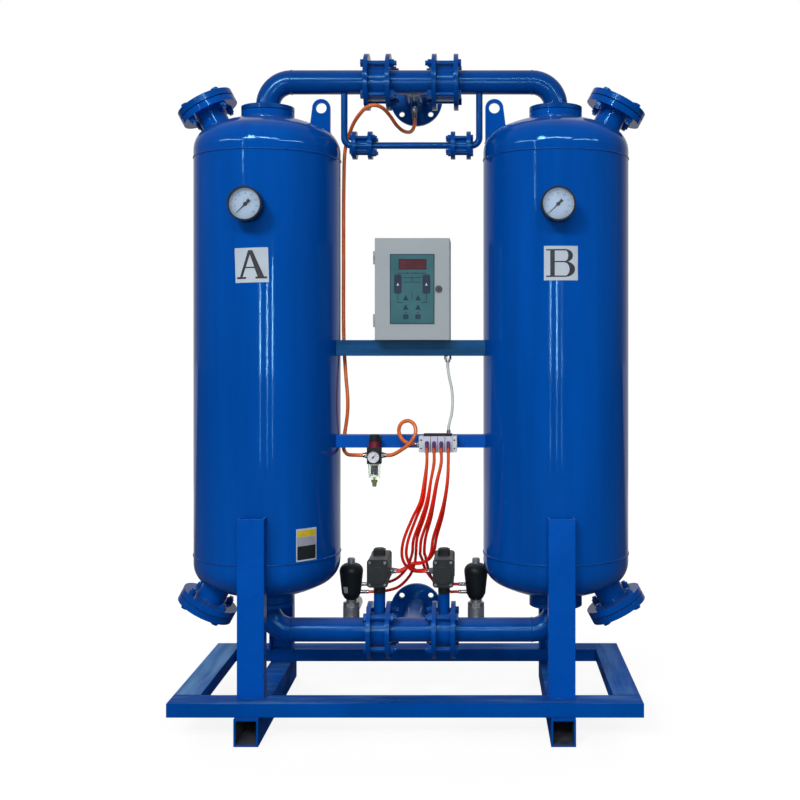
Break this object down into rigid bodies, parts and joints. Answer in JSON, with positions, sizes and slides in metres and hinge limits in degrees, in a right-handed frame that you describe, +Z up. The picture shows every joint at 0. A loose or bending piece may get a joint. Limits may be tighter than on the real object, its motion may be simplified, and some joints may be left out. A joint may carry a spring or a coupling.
{
  "type": "twin-tower desiccant air dryer",
  "caption": "Skid-mounted regenerative desiccant dryer for compressed air: paired towers, flanged pipework with valves, gauges, control cabinet, regulator and control tubes.",
  "frame": {"origin": "on the floor, at the middle of the base", "axes": "+X from tower A to tower B, +Y to the back where the pipes connect, +Z up"},
  "size_m": [1.489, 0.67, 2.091],
  "materials": {
    "blue_paint": "gloss enamel over steel",
    "gasket": "matt sheet",
    "desiccant": "packed beads",
    "steel": "satin",
    "black_enamel": "satin black",
    "dial_white": "semi-gloss print",
    "glass": "clear",
    "black_plastic": "moulded",
    "dark_casting": "anodised dark grey",
    "clear_plastic": "clear moulding",
    "grey_paint": "fine powder coat",
    "panel_film": "printed film",
    "needle_blue": "painted",
    "filter_media": "sintered",
    "aluminium": "machined",
    "white_plastic": "moulded",
    "orange_tube": "translucent extrusion",
    "red_tube": "smooth extrusion",
    "grey_cable": "smooth sheath"
  },
  "bodies": {
    "dryer": {"skid_tubes": "blue_paint", "base_rails": "blue_paint", "vessel_posts": "blue_paint", "upper_crossbar": "blue_paint", "lower_crossbar": "blue_paint", "vessel_a": "blue_paint", "vessel_b": "blue_paint", "port_covers": "blue_paint", "flange_gaskets": "gasket", "port_bolts": "blue_paint", "desiccant_beds": "desiccant", "bed_screens": "steel", "gauge_cases": "black_enamel", "gauge_dials": "dial_white", "gauge_lenses": "glass", "top_spool_a": "blue_paint", "top_spool_b": "blue_paint", "outlet_tee": "blue_paint", "check_valve_bodies": "blue_paint", "purge_pipe": "blue_paint", "purge_orifices": "blue_paint", "bottom_spool_a": "blue_paint", "bottom_spool_b": "blue_paint", "inlet_tee": "blue_paint", "butterfly_bodies": "blue_paint", "flange_bolts": "blue_paint", "actuator_housings": "dark_casting", "actuator_end_caps": "dark_casting", "exhaust_valve_bodies": "steel", "exhaust_actuators": "black_plastic", "exhaust_domes": "clear_plastic", "silencers": "steel", "cabinet": "grey_paint", "regulator_body": "dark_casting", "filter_bowl": "clear_plastic", "filter_element": "filter_media", "valve_manifold": "aluminium", "solenoid_valves": "white_plastic", "tube_fittings": "steel", "supply_tube": "orange_tube", "loop_tube": "orange_tube", "control_tubes": "red_tube", "signal_cable": "grey_cable"},
    "door": {"cabinet_door": "grey_paint", "control_panel": "panel_film", "controller_module": "black_plastic"},
    "lock": {"door_lock": "steel"},
    "pointer_a": {"gauge_pointer_a": "black_plastic"},
    "pointer_b": {"gauge_pointer_b": "black_plastic"},
    "regulator_needle": {"regulator_pointer": "needle_blue"},
    "knob": {"regulator_knob": "black_plastic"},
    "drain": {"bowl_drain": "clear_plastic"},
    "inlet_valve_a": {"butterfly_disc_a": "steel", "position_indicator_a": "black_plastic"},
    "inlet_valve_b": {"butterfly_disc_b": "steel", "position_indicator_b": "black_plastic"},
    "exhaust_plug_a": {"exhaust_stem_a": "steel"},
    "exhaust_plug_b": {"exhaust_stem_b": "steel"},
    "check_plate_a": {"check_disc_a": "steel"},
    "check_plate_b": {"check_disc_b": "steel"}
  },
  "joints": [
    {"name": "door_hinge", "type": "hinge", "parent": "dryer", "child": "door", "pos_m": [-0.1115, -0.09175, 1.336], "axis": [0, 0, -1], "range_deg": [0, 120]},
    {"name": "lock_turn", "type": "hinge", "parent": "door", "child": "lock", "pos_m": [0.09, -0.11, 1.336], "axis": [0, -1, 0], "range_deg": [0, 90]},
    {"name": "gauge_needle_a", "type": "hinge", "parent": "dryer", "child": "pointer_a", "pos_m": [-0.472, -0.28, 1.578], "axis": [0, 1, 0], "range_deg": [0, 270], "stiffness_Nm_per_rad": 0.002},
    {"name": "gauge_needle_b", "type": "hinge", "parent": "dryer", "child": "pointer_b", "pos_m": [0.448, -0.28, 1.578], "axis": [0, 1, 0], "range_deg": [0, 270], "stiffness_Nm_per_rad": 0.002},
    {"name": "regulator_needle_turn", "type": "hinge", "parent": "dryer", "child": "regulator_needle", "pos_m": [-0.11, -0.139, 0.818], "axis": [0, 1, 0], "range_deg": [-180, 90], "stiffness_Nm_per_rad": 0.0005},
    {"name": "knob_turn", "type": "hinge", "parent": "dryer", "child": "knob", "pos_m": [-0.11, -0.1, 0.87], "axis": [0, 0, 1], "range_deg": [-360, 360]},
    {"name": "drain_turn", "type": "hinge", "parent": "dryer", "child": "drain", "pos_m": [-0.11, -0.1, 0.735], "axis": [0, 0, 1], "range_deg": [0, 90]},
    {"name": "inlet_valve_turn_a", "type": "hinge", "parent": "dryer", "child": "inlet_valve_a", "pos_m": [-0.103, 0, 0.252], "axis": [0, 0, 1], "range_deg": [0, 90]},
    {"name": "inlet_valve_turn_b", "type": "hinge", "parent": "dryer", "child": "inlet_valve_b", "pos_m": [0.103, 0, 0.252], "axis": [0, 0, 1], "range_deg": [0, 90]},
    {"name": "exhaust_lift_a", "type": "slide", "parent": "dryer", "child": "exhaust_plug_a", "axis": [0, 0, 1], "range_m": [0, 0.012]},
    {"name": "exhaust_lift_b", "type": "slide", "parent": "dryer", "child": "exhaust_plug_b", "axis": [0, 0, 1], "range_m": [0, 0.012]},
    {"name": "check_lift_a", "type": "slide", "parent": "dryer", "child": "check_plate_a", "axis": [1, 0, 0], "range_m": [0, 0.012], "stiffness_N_per_m": 200},
    {"name": "check_lift_b", "type": "slide", "parent": "dryer", "child": "check_plate_b", "axis": [-1, 0, 0], "range_m": [0, 0.012], "stiffness_N_per_m": 200}
  ]
}
